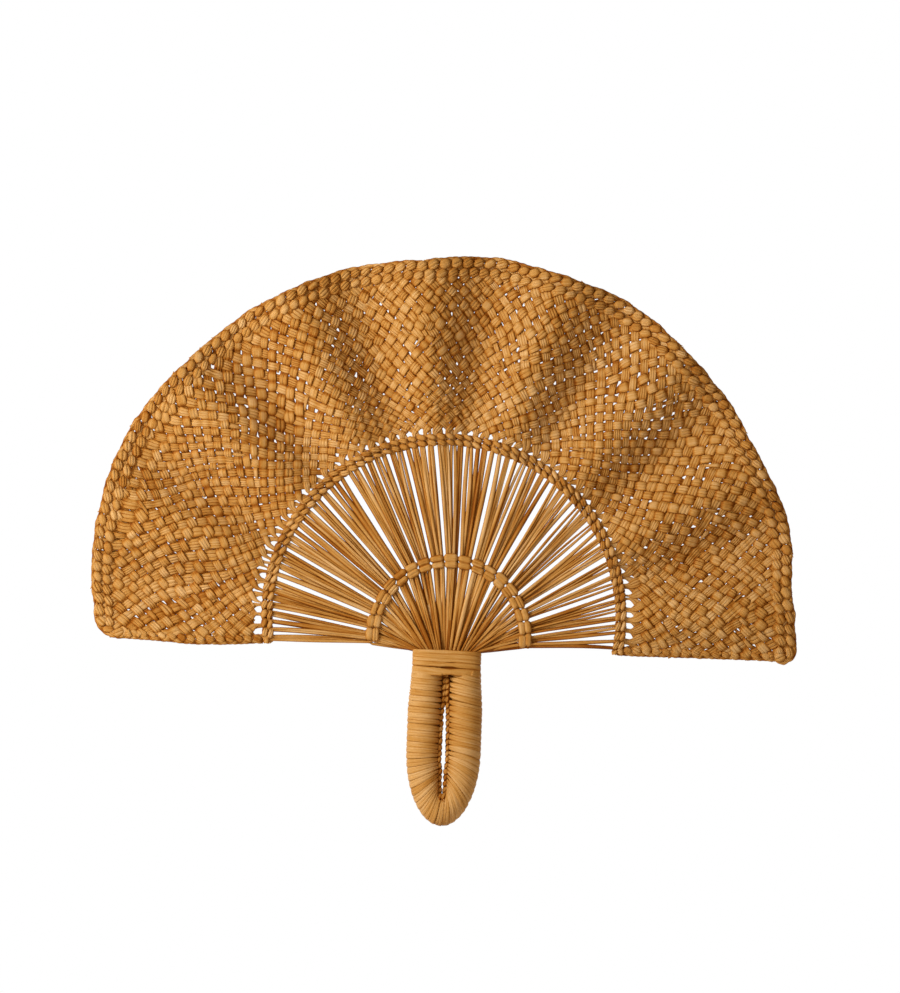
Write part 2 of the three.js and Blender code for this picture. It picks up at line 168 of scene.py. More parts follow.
# Along a rib, 0 is at the neck, 1 at the tie ring and 2 at the band
RIB_DEPTH_PLACES = (0, 0.8, 1.1, 1.9, 2)
RIB_BOW_PLACES, RIB_BOW = (1.1, 1.5, 1.9), 0.4
RIB_WIDTH_PLACES = (0, 0.5, 0.9, 1.0, 1.15, 1.5, 2)
RIB_WIDTHS = (1.0, 1.2, 1.05, 0.95, 1.05, 1.2, 0.95)
RIB_TONES, RIB_BASE_SHADE, RIB_BASE_PLACES = 0.12, 0.14, (0.1, 0.8)
RIB_FIBRES, RIB_DEPTH_SHARE, RIB_TILT = (1, 1, 2), 0.9, 0.2

# Handle and neck
HANDLE_BOTTOM_Z, HANDLE_HALF_WIDTH, BEND_HEIGHT = -53.5, 22.75, 45.6
HANDLE_DEPTH, HANDLE_TIP_DEPTH = 20.0, 17.0
BEND_TOP_Z = HANDLE_BOTTOM_Z + BEND_HEIGHT
SLIT_HALF, SLIT_END_Z, SLIT_TOP_Z = 1.9, -33.0, 20.0
LEG_LOOPS, BEND_LOOPS = 6, 12
NECK_TOP_Z, NECK_HEIGHT, NECK_HALF_WIDTH, NECK_HALF_DEPTH = 53.4, 16.0, 21.0, 9.6
NECK_BOTTOM_Z = NECK_TOP_Z - NECK_HEIGHT
NECK_ROUNDING = 3.0
NECK_TAPER, TAPER_LOW_Z, TAPER_HIGH_Z = 0.065, 15.0, 40.0
NECK_SEAT, LOOP_GAP = 0.3, 0.8
LEG_PITCH = (NECK_BOTTOM_Z - NECK_SEAT - BEND_TOP_Z + LOOP_GAP / 2) / (LEG_LOOPS + 0.5)

# Handle's strip: its turns, its drift along the handle, and how it narrows in the slit, with painted shade
# in the slit and along its edges
TURNS_PER_LOOP, HIDDEN_TURNS = 2, 1.95
STEPS_PER_TURN, FACING_PART_TURN = 44, 0.01
STRIP_INSET, STRIP_HALF_DEPTH, STRIP_LEAST_HALF = 0.55, 0.5, 0.55
RIGHT_LEG_SKEW = 0.22
STRIP_WIDTHS, STRIP_TONES = 0.08, 0.06
STRIP_OVERLAP, SLIT_NARROWS, SLIT_SHADE, SLIT_POWER = 1.14, 0.42, 0.14, 3
STRIP_EDGE_SHADE, SLIT_EDGE_SHADE, STRIP_GROOVE_SHADE = 0.45, 0.8, 0.3

# Slit knots: how far the chains lie from the middle at some heights, and the seam above the slit
KNOT_HEIGHTS = (-39, -34, -28, -12, 10, 21, 38)
KNOT_ASIDE = (1.0, 1.1, 1.8, 2.5, 2.4, 1.3, 0.9)
KNOTS_INTO_NECK, SEAM_INTO_NECK, KNOT_BEADS = 1.0, 4.0, 21
KNOT_LEAST_OFF, KNOT_PROUD, KNOT_TURNED_IN = 0.35, 0.2, 0.35
DEPTH_HEIGHTS, LEG_HALF_ACROSS = (-33, -8), 10.5

# Neck's strip: height and half width at the front of each turn, where turns part, and the lining behind,
# painted dark as the shade inside that parting
COLLAR_TURNS, COLLAR_STEPS = 5.5, 180
COLLAR_HEIGHTS = (52.3, 52.2, 49.7, 47.0, 44.7, 40.2, 39.6)
COLLAR_HALF_WIDTHS = (1.2, 1.3, 1.8, 1.2, 1.75, 2.45, 2.2)
COLLAR_LEVEL, COLLAR_SHADE = 0.11, 0.05
PARTED_AT, PARTED_SPREAD, PARTED_SHARE, PARTED_TURNS = 0.508, 0.014, 0.3, (3, 5)
LINING_TURNS, LINING_SHRINK, LINING_RISE = (1, 2.02), (0.92, 0.85, 0), 7.5

# Palm from its darkest, which the painted shade in grooves and at edges reaches, to its palest streaks, and
# the pith inside the handle
PALM_DARK = (0.190, 0.047, 0.003)
PALM_DEEP = (0.345, 0.122, 0.014)
PALM_MIDDLE = (0.485, 0.233, 0.052)
PALM_LIGHT = (0.695, 0.448, 0.205)
PALM_STOPS = ((0.0, PALM_DARK), (0.25, PALM_DEEP), (0.5, PALM_MIDDLE), (1.0, PALM_LIGHT))
PITH_STOPS = ((0.3, (0.200, 0.068, 0.010)), (0.75, (0.420, 0.190, 0.040)))
# Noise along the grain, across it and from strand to strand, and how much each sways the tone
FIBRE_GRAIN, SLOW_GRAIN, SPECKLE_GRAIN = (0.07, 2.6, 1.0), (0.035, 0.25, 3.1), (0.9, 1.6, 1.7)
SLOW_SWAY, SPECKLE_SWAY, ROUGH_SWAY = 0.45, 0.18, 0.25
PITH_GRAIN, PITH_ROUGHNESS, PITH_ROUGH_SWAY = (900.0, 900.0, 90.0), 0.7, 0.2
BUMP_DEPTH, SPECULAR = 0.15, 0.03

# Light: the soft light from all round and its colour, and the white floor's glow to the camera
AMBIENT = 0.22
AMBIENT_COLOUR = (1.0, 0.70, 0.38, 1.0)
WHITE = (1, 1, 1, 1)
FLOOR_BELOW = 0.0005
FLOOR_STOPS = ((0.3, (0.80, 0.80, 0.80)), (0.7, (0.84, 0.84, 0.84)))
FLOOR_MOTTLE, FLOOR_ROUGHNESS, FLOOR_ROUGH_SWAY = 40.0, 0.9, 0.05
GLOW_NEAR, GLOW_FAR, GLOW_REACH = 0.62, 1.0, 1.1
# Each lamp: its name, its place, the place that it faces, its size and its power
LAMPS = (
    ("key", (-1.15, -0.95, 0.62), (0.0, 0.0, 0.12), 0.7, 25.5),
    ("fill", (0.3, -1.5, -0.02), (0.0, 0.0, 0.1), 1.0, 4.0),
    ("back", (-0.25, 1.6, 0.55), (0.0, 0.0, 0.12), 0.8, 25.0),
)

# Photograph frame: pixels, millimetres to a pixel, the origin's pixel and the fan's clockwise turn
PHOTO_WIDTH, PHOTO_HEIGHT = 900, 993
MM_PER_PIXEL = 0.6073
ORIGIN_PIXEL = (444, 738)
TURN = math.radians(2)
CAMERA_AWAY = 1.5


# Small helpers on arrays
def smooth(low, high, value):
    t = np.clip((value - low) / (high - low), 0, 1)
    return t * t * (3 - 2 * t)


def unit(vectors):
    return vectors / np.linalg.norm(vectors, axis=-1, keepdims=True)


def peak(value, middle, spread):
    return np.exp(-(((value - middle) / spread) ** 2))


def wander(rng, at, period, size):
    """A slow unsteady drift of about that size along a line."""
    total = 0
    for stretch in DRIFT_WAVES:
        total = total + np.sin(TAU * (at / (period * stretch) + rng.random()))
    return size * total / len(DRIFT_WAVES)


def mix(start, end, share):
    return start + (end - start) * share


def stack(*parts):
    """Places whose coordinates are these arrays."""
    return np.stack(np.broadcast_arrays(*parts), axis=-1)


def distances(line):
    """How far along a line each of its points lies."""
    return np.concatenate(([0.0], np.cumsum(np.linalg.norm(np.diff(line, axis=0), axis=1))))


def place_on(path, share):
    """Places at shares of the length of a flat path of x and z."""
    along = distances(path)
    return stack(*(np.interp(share * along[-1], along, path[:, axis]) for axis in (0, 1)))


# Fan surface
def arc_centre(radius):
    return [np.interp(radius, ARC_RADII, places) for places in ARC_CENTRES.T]


def edge_angles(radius, edge_z):
    """Angles at which an arc meets a level line below: right end, left end."""
    drop = np.arcsin(np.clip((arc_centre(radius)[1] - edge_z) / radius, -1, 1))
    return -drop, math.pi + drop


def share_out(radius):
    """How far out a radius lies on the woven sheet, from 0 at the band to 1 at the rim."""
    return np.clip((radius - SHEET_RADIUS) / (RIM_RADIUS - SHEET_RADIUS), 0, 1)


def fold_height(radius):
    inside = FOLD_AT_BAND * np.clip((radius - FORK_RADIUS) / (SHEET_RADIUS - FORK_RADIUS), 0, 1)
    out = share_out(radius)
    near_band = FOLD_AT_BAND * (1 - out) * (1 - 2 * out)
    near_middle = FOLD_HALFWAY * 4 * out * (1 - out)
    near_rim = FOLD_AT_RIM * out * (2 * out - 1)
    return np.where(radius < SHEET_RADIUS, inside, near_band + near_middle + near_rim)


def outline_swell(angle):
    swells = sum(
        height * peak(angle, math.radians(middle), math.radians(spread))
        for middle, spread, height in SWELLS
    )
    return EVEN_SWELL + swells + sum(LUMP_HEIGHT * np.sin(count * angle) for count in LUMPS)


def fan_point(radius, angle):
    """Points of the rippled surface that all strands lie on; the front faces -Y."""
    reach = radius + share_out(radius) * outline_swell(angle)
    centre_x, centre_z = arc_centre(radius)
    x, z = centre_x + reach * np.cos(angle), centre_z + reach * np.sin(angle)
    z = z - SAG * peak(x, SAG_X, SAG_SPREAD) * (1 - smooth(LOWER_EDGE_Z, SAG_TOP_Z, z))
    depth = -fold_height(radius) * np.sin(TAU * (FIRST_FOLD - angle) / FOLD_SPACING)
    return stack(x, depth, z)


def fan_normal(radius, angle):
    out = fan_point(radius + FACING_STEP, angle) - fan_point(radius - FACING_STEP, angle)
    round_about = fan_point(radius, angle + FACING_TURN) - fan_point(radius, angle - FACING_TURN)
    return unit(np.cross(out, round_about))


def on_fan(radius, angle):
    return fan_point(radius, angle), fan_normal(radius, angle)


def on_arc(radius, edge_z, steps):
    """Along one arc from its right end to its left end."""
    right, left = edge_angles(radius, edge_z)
    return on_fan(np.full(steps, radius), np.linspace(right, left, steps))


def fan_polar(x, z):
    """Radius and angle of flat places, found by following the drifting centre."""
    radius = np.hypot(x, z - BAND_CENTRE[1])
    for _ in range(POLAR_ROUNDS):
        centre_x, centre_z = arc_centre(radius)
        angle = np.arctan2(z - centre_z, x - centre_x)
        angle = np.where(angle < -math.pi / 2, angle + TAU, angle)
        radius = np.hypot(x - centre_x, z - centre_z) - share_out(radius) * outline_swell(angle)
    return radius, angle


# Strands
class Section:
    """A strand's outline: a flat oval whose two faces show a few fibres with narrow grooves between them,
    with masks for painted shade in the grooves and along the edges.
    """

    def __init__(self, fibres, groove, roundness=0.6):
        edges = np.linspace(-1, 1, fibres + 1)
        seams = edges[1:-1]
        middles = (edges[1:] + edges[:-1]) / 2
        lips = np.concatenate((seams - SEAM_HALF, seams + SEAM_HALF))
        shoulders = ONE_FIBRE_SHOULDERS if fibres == 1 else SHOULDERS
        top = np.sort(np.concatenate((middles, seams, lips, shoulders)))[::-1]
        in_seam = np.isin(top, seams).astype(float)
        bulge = (1 - np.abs(top) ** BULGE_POWER) ** roundness * (1 - groove * in_seam)
        self.across = np.concatenate(((1.0,), top, (-1.0,), top[::-1]))
        self.deep = np.concatenate(((0.0,), bulge, (0.0,), -bulge[::-1]))
        # Where painted shade falls: in the grooves, and towards both edges
        self.seam = np.concatenate(((0.0,), in_seam, (0.0,), in_seam[::-1]))
        self.edge = np.abs(self.across) ** EDGE_POWER


class Strands:
    """Strands for one mesh, lofted along their middle lines, with a grain and a tone at each point; the tone
    holds each strand's own tone less painted shade.
    """

    def __init__(self):
        self.points, self.faces, self.grain, self.tone, self.spots = [], [], [], [], []
        self.rows, self.total, self.length = 0, 0, 0.0

    def add(self, line, facing, half_width, half_depth, section, tone, tilt=0.0, groove=1.0, edge=1.0):
        stations, sides = len(line), len(section.across)
        along = distances(line)
        tangent = unit(np.gradient(line, axis=0))
        flat_side = unit(np.cross(tangent, facing))
        flat_normal = np.cross(flat_side, tangent)
        tilt = np.broadcast_to(tilt, stations)[:, None]
        side = flat_side * np.cos(tilt) + flat_normal * np.sin(tilt)
        normal = flat_normal * np.cos(tilt) - flat_side * np.sin(tilt)
        wide = np.broadcast_to(half_width, stations)[:, None] * section.across
        deep = np.broadcast_to(half_depth, stations)[:, None] * section.deep
        rings = line[:, None] + side[:, None] * wide[..., None] + normal[:, None] * deep[..., None]
        self.points.append(rings.reshape(-1, 3))
        grain = stack(along[:, None], wide, self.rows * GRAIN_STEP)
        self.grain.append(grain.reshape(-1, 3))
        # Painted shade: grooves and edges are drawn darker, taken off the tone
        groove = GROOVE_SHADE * np.broadcast_to(groove, stations)[:, None]
        edge = EDGE_SHADE * np.broadcast_to(edge, stations)[:, None]
        shade = groove * section.seam + edge * section.edge
        self.tone.append((np.broadcast_to(tone, stations)[:, None] - shade).reshape(-1))
        self.length += along[-1]
        self.loft(stations, sides, along / along[-1])

    def loft(self, stations, sides, along):
        """Quads between the rings, a cap at each end, and a place of its own for each face in the bake."""
        first = self.total + np.arange(stations - 1)[:, None] * sides
        here, after = np.arange(sides), (np.arange(sides) + 1) % sides
        quads = stack(first + here, first + sides + here, first + sides + after, first + after)
        self.faces += quads.reshape(-1, 4).tolist()
        fill = 1 - 2 * ROW_MARGIN
        low = self.rows + ROW_MARGIN + fill * here / sides
        high = self.rows + ROW_MARGIN + fill * (here + 1) / sides
        start, stop = along[:-1, None], along[1:, None]
        corners = ((start, low), (stop, low), (stop, high), (start, high))
        spots = np.stack([stack(u, v) for u, v in corners], axis=-2)
        self.spots.append(spots.reshape(-1, 2))
        turn = here / sides * TAU
        cap = stack(CAP_WIDTH * np.cos(turn), self.rows + 0.5 + CAP_HEIGHT * np.sin(turn))
        self.faces.append((self.total + here).tolist())
        self.spots.append(cap)
        self.faces.append((self.total + (stations - 1) * sides + here[::-1]).tolist())
        self.spots.append(cap[::-1] + (1, 0))
        self.rows += 1
        self.total += stations * sides

    def bake_places(self):
        """The faces' places in the bake, with the strands stacked in columns."""
        spots = np.concatenate(self.spots)
        columns = max(1, round(math.sqrt(self.rows * STRAND_GIRTH * self.rows / self.length)))
        stacked = math.ceil(self.rows / columns)
        column = np.floor(spots[:, 1]) // stacked
        u = (ROW_INSET + (1 - 2 * ROW_INSET) * spots[:, 0] + column) / columns
        return stack(u, (spots[:, 1] - column * stacked) / stacked)


def new_object(name, data):
    made = bpy.data.objects.new(name, data)
    bpy.context.scene.collection.objects.link(made)
    return made


def make_piece(name, strands, material, slot, *nodes):
    """One object of the gathered strands, riding on the fan in place of its plain solids."""
    mesh = bpy.data.meshes.new(name)
    mesh.from_pydata(np.concatenate(strands.points) * MM, [], strands.faces)
    mesh.polygons.foreach_set("use_smooth", np.ones(len(mesh.polygons), bool))
    mesh.attributes.new("grain", "FLOAT_VECTOR", "POINT").data.foreach_set(
        "vector", np.concatenate(strands.grain).astype(np.float32).ravel()
    )
    mesh.attributes.new("tone", "FLOAT", "POINT").data.foreach_set(
        "value", np.concatenate(strands.tone).astype(np.float32)
    )
    places = strands.bake_places().astype(np.float32)
    mesh.uv_layers.new(name="OFBake").data.foreach_set("uv", places.ravel())
    mesh.materials.append(material)
    mesh.validate()
    piece = new_object(name, mesh)
    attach(piece, "root")
    if nodes:
        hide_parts(*nodes)


# Materials
class Wire:
    """A socket in a material's node tree; arithmetic on it adds Math nodes."""

    def __init__(self, tree, socket=None):
        self.tree = tree
        self.socket = socket

    def add(self, kind, settings, sockets, output=0):
        """Adds a node: its settings first, then the values or links of its sockets."""
        node = self.tree.nodes.new("ShaderNode" + kind)
        for name, value in settings.items():
            if name == "stops":
                self.set_stops(node.color_ramp, value)
            else:
                setattr(node, name, value)
        for name, value in sockets.items():
            if isinstance(value, Wire):
                self.tree.links.new(value.socket, node.inputs[name])
            else:
                node.inputs[name].default_value = value
        return Wire(self.tree, node.outputs[output] if node.outputs else None)

    @staticmethod
    def set_stops(ramp, stops):
        while len(ramp.elements) < len(stops):
            ramp.elements.new(1.0)
        for element, (place, colour) in zip(ramp.elements, stops):
            element.position = place
            element.color = (*colour, 1.0)

    def math(self, operation, first, second):
        return self.add("Math", {"operation": operation}, {0: first, 1: second})

    def __add__(self, other):
        return self.math("ADD", self, other)

    def __sub__(self, other):
        return self.math("SUBTRACT", self, other)

    def __rsub__(self, other):
        return self.math("SUBTRACT", other, self)

    def __mul__(self, other):
        return self.math("MULTIPLY", self, other)

    __radd__ = __add__
    __rmul__ = __mul__

    def stretched(self, x, y, z):
        return self.add("VectorMath", {"operation": "MULTIPLY"}, {0: self, 1: (x, y, z)})

    def noise(self, scale, detail):
        return self.add("TexNoise", {}, {"Vector": self, "Scale": scale, "Detail": detail})

    def coloured(self, stops):
        return self.add("ValToRGB", {"stops": stops}, {0: self}, "Color")


def new_tree(name):
    material = bpy.data.materials.new(name)
    material.use_nodes = True
    material.node_tree.nodes.clear()
    return material, Wire(material.node_tree)


def finish_material(material, wire, colour, roughness, height, bump):
    """A dull natural surface from its colour, roughness and relief."""
    normal = wire.add("Bump", {}, {"Strength": bump, "Distance": BUMP_DEPTH * MM, "Height": height})
    look = {"Base Color": colour, "Roughness": roughness, "Specular IOR Level": SPECULAR, "Normal": normal}
    wire.add("OutputMaterial", {}, {"Surface": wire.add("BsdfPrincipled", {}, look)})
    return material


def palm_material(name, lift, roughness, streak):
    """Dried palm: fine streaks along each strand, slow changes of tone, and the painted shade of grooves and
    edges that the tone brings.
    """
    material, wire = new_tree(name)
    grain = wire.add("Attribute", {"attribute_name": "grain"}, {}, "Vector")
    tone = wire.add("Attribute", {"attribute_name": "tone"}, {}, "Fac")
    fibres = grain.stretched(*FIBRE_GRAIN).noise(scale=1.0, detail=3.0)
    slow = grain.stretched(*SLOW_GRAIN).noise(scale=1.0, detail=2.0)
    speckle = grain.stretched(*SPECKLE_GRAIN).noise(scale=1.0, detail=2.0)
    level = tone + lift + (fibres - 0.5) * streak
    level = level + (slow - 0.5) * SLOW_SWAY + (speckle - 0.5) * SPECKLE_SWAY
    colour = level.coloured(PALM_STOPS)
    rough = roughness + (0.5 - fibres) * ROUGH_SWAY
    return finish_material(material, wire, colour, rough, fibres, bump=0.5)


def core_material(name):
    """Bundled palm pith, dark between the turns of its binding."""
    material, wire = new_tree(name)
    place = wire.add("TexCoord", {}, {}, "Object")
    fibres = place.stretched(*PITH_GRAIN).noise(scale=1.0, detail=3.0)
    colour = fibres.coloured(PITH_STOPS)
    rough = PITH_ROUGHNESS + (fibres - 0.5) * PITH_ROUGH_SWAY
    return finish_material(material, wire, colour, rough, fibres, bump=0.6)


WOVEN = palm_material("woven_palm", lift=0.59, roughness=0.52, streak=0.8)
PLAITED = palm_material("plaited_palm", lift=0.54, roughness=0.54, streak=0.75)
RIB = palm_material("palm_rib", lift=0.5, roughness=0.5, streak=0.6)
TWINED = palm_material("twined_palm", lift=0.53, roughness=0.5, streak=0.7)
STRIP = palm_material("palm_strip", lift=0.6, roughness=0.44, streak=0.7)
KNOTTED = palm_material("palm_knots", lift=0.4, roughness=0.5, streak=0.7)
CORE = core_material("palm_core")

RIGHT_EDGE, LEFT_EDGE = (float(angle) for angle in edge_angles(PITCH_RADIUS, LOWER_EDGE_Z))
STRAND_PITCH = (LEFT_EDGE - RIGHT_EDGE) / STRANDS_AT_BAND


# Weave: two families of strands that lean opposite ways
def comb(angle):
    """1 where the strands stand apart at the band, 0 where they lean over at once."""
    return 1 - smooth(*COMB_RIGHT, np.degrees(angle)) + smooth(*COMB_LEFT, np.degrees(angle))


@dataclass
class Lay:
    """How one family lies: the pitches that it reaches past the blade's right and left ends, its lean, how
    much further it leans about one angle in degrees and how far round that reaches, the share of its pitch
    it fills, its waves and shape, its painted shade where it dips and in its grooves, and how close the
    places along its strands are."""

    beyond: tuple
    lean: float
    further: float
    further_at: float
    further_round: float
    fill: float
    rise: float
    half_depth: float
    roundness: float
    dip_shade: float
    groove: float
    fibres: tuple
    step: float


LEANING_LEFT = Lay(
    beyond=(5.75, 1.75), lean=0.62, further=0.38, further_at=138, further_round=26, fill=1.01, rise=0.34,
    half_depth=0.6, roundness=0.45, dip_shade=0.28, groove=0.75, fibres=(2, 3, 3, 4), step=1.0,
)
LEANING_RIGHT = Lay(
    beyond=(1.25, 7.75), lean=-0.88, further=-0.18, further_at=46, further_round=24, fill=1.07, rise=1.08,
    half_depth=0.66, roundness=0.5, dip_shade=0.5, groove=0.45, fibres=(1, 2, 3, 3), step=0.78,
)


class Family:
    """Strands that all lean one way. Pairs of neighbours part into four as the fan widens."""

    def __init__(self, lay, rng):
        self.lay = lay
        first = RIGHT_EDGE - lay.beyond[0] * STRAND_PITCH
        last = LEFT_EDGE + lay.beyond[1] * STRAND_PITCH
        couples = round((last - first) / (2 * STRAND_PITCH))
        self.radii = np.arange(WEAVE_START, WEAVE_END, RADIUS_STEP)
        middles = first + (last - first) * (np.arange(couples) + 0.5) / couples
        _, parted = self.lean_out(np.repeat(middles[:, None], len(self.radii), axis=1))
        births = (FIRST_BIRTH + np.arange(couples) * GOLDEN) % 1
        born = (SHEET_RADIUS * (1 + births) / parted[:, -1] - CHILD_LEAD)[:, None]
        weights, parity = np.ones((2, couples, IN_COUPLE, len(self.radii)))
        weights[:, 1] = weights[:, 3] = smooth(0, CHILD_GROWTH, self.radii - born)
        parity[:, 0] = 0
        parity[:, 2] = self.radii < born + CHILD_SHOWS
        self.parity = parity.reshape(-1, len(self.radii))
        self.shows = np.where(np.arange(IN_COUPLE) % 2, born + CHILD_SHOWS, 0).reshape(-1)
        even = weights.reshape(-1, len(self.radii)) / np.repeat(parted, IN_COUPLE, axis=0)
        even = even / even.sum(axis=0)
        share = np.cumsum(even, axis=0) - even / 2
        self.angle, parted = self.lean_out(mix(first, last, share))
        drift = np.zeros(self.angle.shape)
        for row in drift:
            row += wander(rng, self.radii, period=42, size=0.55) + rng.normal(0, SIDE_OFFSET)
        self.angle += drift * smooth(LEAN_BEGINS, SIDE_FULL, self.radii) / self.radii
        uneven = rng.normal(0, START_ASIDE * STRAND_PITCH, (len(self.angle), 1))
        self.angle += uneven * (1 - smooth(WIDEN_BEGINS, START_ASIDE_ENDS, self.radii))
        slope = self.radii * np.gradient(self.angle, self.radii, axis=1)
        self.pitch = (last - first) * even * parted * self.radii / np.sqrt(1 + slope**2)
        self.crossings = [[] for _ in self.angle]

    def lean_out(self, upright):
        """Angles of strands that start upright and lean over, and how much they part on the way out."""
        lay, spread = self.lay, math.radians(self.lay.further_round)
        early = LEAN_EARLY * (1 - comb(upright))
        leans = smooth(LEAN_BEGINS - early, LEAN_FULL - early, self.radii) * RADIUS_STEP / self.radii
        shift, parted = np.zeros(upright.shape), np.ones(upright.shape)
        for step in range(1, len(self.radii)):
            off = (upright[:, step] + shift[:, step - 1] - math.radians(lay.further_at)) / spread
            further = lay.further * np.exp(-(off**2))
            shift[:, step] = shift[:, step - 1] + (lay.lean + further) * leans[:, step]
            parted[:, step] = parted[:, step - 1] * (1 - 2 * off / spread * further * leans[:, step])
        return upright + shift, parted

    def __len__(self):
        return len(self.angle)


def cross_families(one, other, rng):
    """Finds where the strands of two families cross and which of the two passes in front."""
    radii = one.radii
    for i in range(len(one)):
        apart = one.angle[i] - other.angle
        past = np.argmax(apart > 0, axis=1)
        for j in np.nonzero((apart[:, 0] < 0) & (apart[:, -1] > 0))[0]:
            step = past[j]
            before, after = apart[j, step - 1], apart[j, step]
            radius = radii[step] - RADIUS_STEP * after / (after - before)
            if radius < max(one.shows[i], other.shows[j]):
                continue
            over = 1 - 2 * ((one.parity[i, step] + other.parity[j, step]) % 2)
            if rng.random() < STRAY_SHARE:
                over = -over
            one.crossings[i].append((radius, over))
            other.crossings[j].append((radius, -over))


def swing(at, crossings, start):
    """Height of a strand along its way, from -1 behind to 1 in front, flat where it crosses another."""
    radii = (radius for radius, _ in crossings)
    knots = np.array([start - SWING_BEYOND, *radii, WEAVE_END + SWING_BEYOND])
    levels = np.array([0.0, *(over for _, over in crossings), 0.0])
    place = np.clip(np.searchsorted(knots, at) - 1, 0, len(knots) - 2)
    before, after = levels[place], levels[place + 1]
    t = (at - knots[place]) / (knots[place + 1] - knots[place])
    sag = FLOAT_SAG * np.where(before == after, before, 0) * np.sin(math.pi * t) ** 2
    return mix(before, after, smooth(*SWING_BETWEEN, t)) - sag


def corner(radius, level, size, side):
    """Where the rim turns into the level lower edge: the middle of its arc and the angle where it begins."""
    up = level + size - RIM_CENTRE[1]
    meet = math.asin(up / (radius - size))
    way = np.array((side * math.cos(meet), math.sin(meet)))
    swell = float(outline_swell(meet if side > 0 else math.pi - meet))
    return RIM_CENTRE + (radius - size + swell) * way, meet


def in_corners(points):
    """Which places lie inside both rounded lower corners of the rim."""
    inside = np.ones(len(points), bool)
    for side, size in ((1, CORNER_RIGHT), (-1, CORNER_LEFT)):
        middle, _ = corner(RIM_OUTER_ROW, RIM_OUTER_Z, size, side)
        across, up = (points[:, 0] - middle[0]) * side, points[:, 2] - middle[1]
        inside &= (across < 0) | (up > 0) | (np.hypot(across, up) < size)
    return inside


def looseness(radius, angle):
    """The share of their width by which strands are drawn narrower."""
    return sum(
        share * peak(np.degrees(angle), middle, LOOSE_ROUND) * peak(radius, out, LOOSE_OUT)
        for middle, out, share in LOOSE_PLACES
    )


def lay_strand(strands, family, index, rng):
    """Lofts one strand of a family where it lies on the blade."""
    lay = family.lay
    start = max(WEAVE_START, family.shows[index])
    if start > WEAVE_END - SHORTEST_STRAND:
        return
    at = np.arange(start, WEAVE_END, lay.step)
    angle = np.interp(at, family.radii, family.angle[index])
    points = fan_point(at, angle)
    right, left = edge_angles(at, LOWER_EDGE_Z)
    inside = (points[:, 2] > WEAVE_FLOOR_Z) & (angle > right) & (angle < left) & in_corners(points)
    if inside.sum() < FEWEST_PLACES:
        return
    at, angle, points = at[inside], angle[inside], points[inside]
    level = swing(at, sorted(family.crossings[index]), start)
    seen = np.abs(level)
    facing = fan_normal(at, angle)
    fill = lay.fill * np.clip(rng.normal(1.0, FILL_UNEVEN), *FILL_LIMITS) * (1 - looseness(at, angle))
    apart = comb(angle[0])
    early = LEAN_EARLY * (1 - apart)
    spread = smooth(WIDEN_BEGINS - early, WIDEN_FULL - early, at)
    pitch = np.interp(at, family.radii, family.pitch[index])
    full = pitch / 2 * fill * mix(*DIP_WIDTHS, seen) * (1 + wander(rng, at, period=15, size=0.13))
    start_half = mix(START_TIGHT, START_HALF, apart) * rng.uniform(*START_UNEVEN)
    half_width = np.maximum(mix(start_half, full, spread), LEAST_HALF_WIDTH)
    half_depth = mix(START_DEPTH, lay.half_depth * mix(*DIP_DEPTHS, seen), spread)
    height = lay.rise * level * mix(START_RISE, 1, spread)
    height = height + wander(rng, at, period=11, size=0.12) * spread
    line = points + facing * (height * (1 - smooth(*RIM_FLATTENS, at)))[:, None]
    section = Section(rng.choice(lay.fibres), groove=0.5, roundness=lay.roundness)
    tone = rng.normal(0, STRAND_TONES) + wander(rng, at, period=14, size=0.08)
    # Painted shade where the strand dips between front and back at a crossing; the groove value sets painted
    # shade in its grooves
    tone = tone - lay.dip_shade * (1 - seen) * spread
    groove = np.clip(lay.groove + wander(rng, at, period=8, size=0.9), LEAST_GROOVE_SHADE, 1)
    tilt = wander(rng, at, period=9, size=0.2) * spread
    strands.add(line, facing, half_width, half_depth, section, tone, tilt, groove)


def make_weave():
    rng = np.random.default_rng(SEED)
    left, right = Family(LEANING_LEFT, rng), Family(LEANING_RIGHT, rng)
    cross_families(left, right, rng)
    for name, family in (("left", left), ("right", right)):
        for part in range(WEAVE_PARTS):
            strands = Strands()
            for index in range(part * len(family) // WEAVE_PARTS, (part + 1) * len(family) // WEAVE_PARTS):
                lay_strand(strands, family, index, rng)
            make_piece(f"weave_leaning_{name}_{part + 1}", strands, WOVEN, "woven_palm", "woven_blade")


# Twined rows
@dataclass
class Twist:
    """How the plies of a twined row swing to the front and sideways, and the shape of their beads."""

    rise: float
    sway: float
    half_width: float
    half_depth: float
    full: float = 1.0
    neck: float = 0.6
    fibres: tuple = (1, 2, 3, 3)
    start: float = 0.0


RIM_OUTER_TWIST = Twist(rise=1.1, sway=-1.2, half_width=2.7, half_depth=1.6, full=0.85, neck=0.15)
RIM_INNER_TWIST = Twist(rise=1.1, sway=-1.2, half_width=2.7, half_depth=1.5, full=0.85, neck=0.15)
RIM_EDGE_TWIST = Twist(rise=0.2, sway=0.5, half_width=1.35, half_depth=0.7, fibres=(1, 2))
SELVEDGE_BROAD = Twist(rise=0.8, sway=1.0, half_width=2.1, half_depth=1.0, full=0.9, neck=0.4)
SELVEDGE_NARROW = Twist(rise=0.4, sway=0.6, half_width=1.25, half_depth=0.8)
BAND_TWIST = Twist(
    rise=1.6, sway=0.85, half_width=1.6, half_depth=1.1, full=0.85, neck=0.35, fibres=(1, 2)
)
RING_TWIST = Twist(
    rise=2.9, sway=0.0, half_width=2.25, half_depth=1.25, full=0.62, neck=0.4, fibres=(1, 1, 2), start=0.5
)
KNOT_TWIST = Twist(rise=0.6, sway=0.6, half_width=1.3, half_depth=1.0, neck=0.35, fibres=(1, 2))
